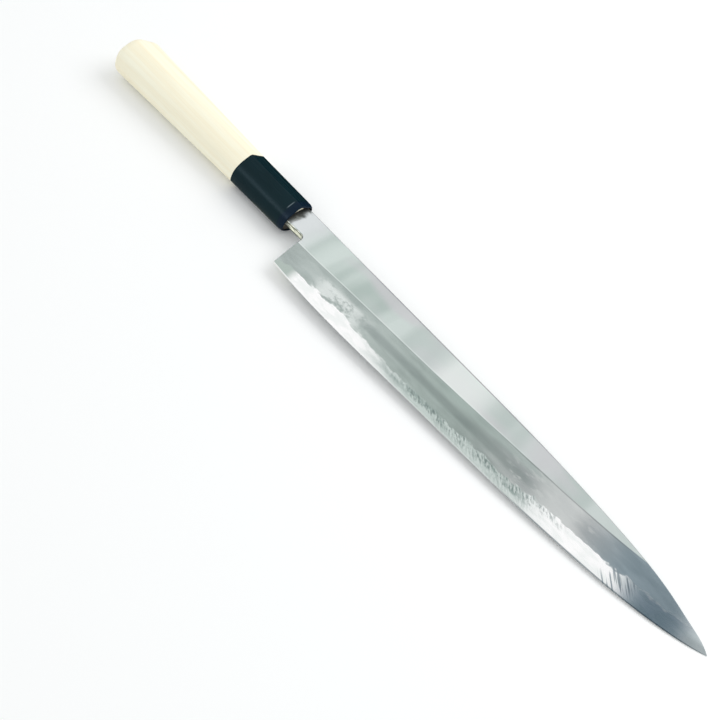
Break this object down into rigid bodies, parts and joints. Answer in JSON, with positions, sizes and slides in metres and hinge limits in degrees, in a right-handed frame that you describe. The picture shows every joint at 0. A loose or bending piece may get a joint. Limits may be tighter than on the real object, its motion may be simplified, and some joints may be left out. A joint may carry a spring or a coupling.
{
  "type": "yanagiba knife",
  "caption": "Single-bevel yanagiba slicing knife with a hollow-ground back, a wavy laminated edge, a black ferrule and a pale D-section wooden handle.",
  "frame": {"origin": "under the middle of the bounding box, at the height of the handle's lowest line", "axes": "+X from the butt to the tip, +Y from the cutting edge to the spine, +Z out of the omote, the side with the bevel"},
  "size_m": [0.41, 0.0415, 0.0199],
  "materials": {
    "soft_iron": "stone-polished soft iron, satin on the flat, hazy on the bevel",
    "edge_steel": "bright whetstone-ground carbon steel",
    "ferrule": "glossy blue-black moulded resin",
    "handle_wood": "bare sanded magnolia"
  },
  "bodies": {
    "root": {"blade_body": "soft_iron", "edge_steel": "edge_steel", "ferrule": "ferrule", "handle": "handle_wood"}
  },
  "joints": []
}
